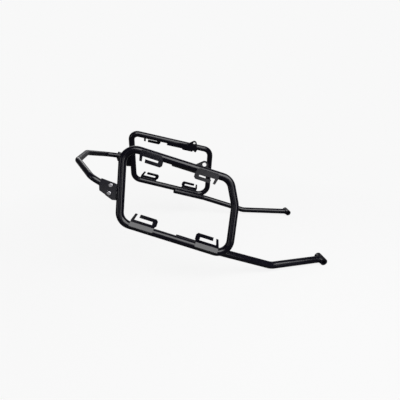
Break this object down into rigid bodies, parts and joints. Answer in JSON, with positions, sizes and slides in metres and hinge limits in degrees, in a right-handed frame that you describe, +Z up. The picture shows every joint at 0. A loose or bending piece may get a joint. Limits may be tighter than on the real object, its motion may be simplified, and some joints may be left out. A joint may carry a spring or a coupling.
{
  "type": "motorbike pannier frame",
  "caption": "Tubular side-case frame for a motorbike: leaning hoops with luggage hooks, front struts with bushes, eyed top brackets and a bolted rear crossbar.",
  "frame": {"origin": "middle of the overall box, on the plane midway between the two hoops", "axes": "+X forward along the bike, +Y to the bike's left, +Z up, as the frame hangs on the bike"},
  "size_m": [0.818, 0.57, 0.3844],
  "materials": {
    "black_powder_coat": "satin black powder coat",
    "zinc_plate": "bright zinc plate"
  },
  "bodies": {
    "root": {"right_hoop": "black_powder_coat", "right_front_strut": "black_powder_coat", "right_strut_bush": "black_powder_coat", "right_top_rear_hook": "black_powder_coat", "right_top_front_hook": "black_powder_coat", "right_bottom_rear_hook": "black_powder_coat", "right_bottom_front_hook": "black_powder_coat", "right_top_bracket": "black_powder_coat", "right_rear_gusset": "black_powder_coat", "right_crossbar_flange": "black_powder_coat", "right_flange_bolts": "zinc_plate", "right_flange_nuts": "zinc_plate", "left_hoop": "black_powder_coat", "left_front_strut": "black_powder_coat", "left_strut_bush": "black_powder_coat", "left_top_rear_hook": "black_powder_coat", "left_top_front_hook": "black_powder_coat", "left_bottom_rear_hook": "black_powder_coat", "left_bottom_front_hook": "black_powder_coat", "left_top_bracket": "black_powder_coat", "left_rear_gusset": "black_powder_coat", "left_crossbar_flange": "black_powder_coat", "left_flange_bolts": "zinc_plate", "left_flange_nuts": "zinc_plate", "rear_crossbar": "black_powder_coat"}
  },
  "joints": []
}
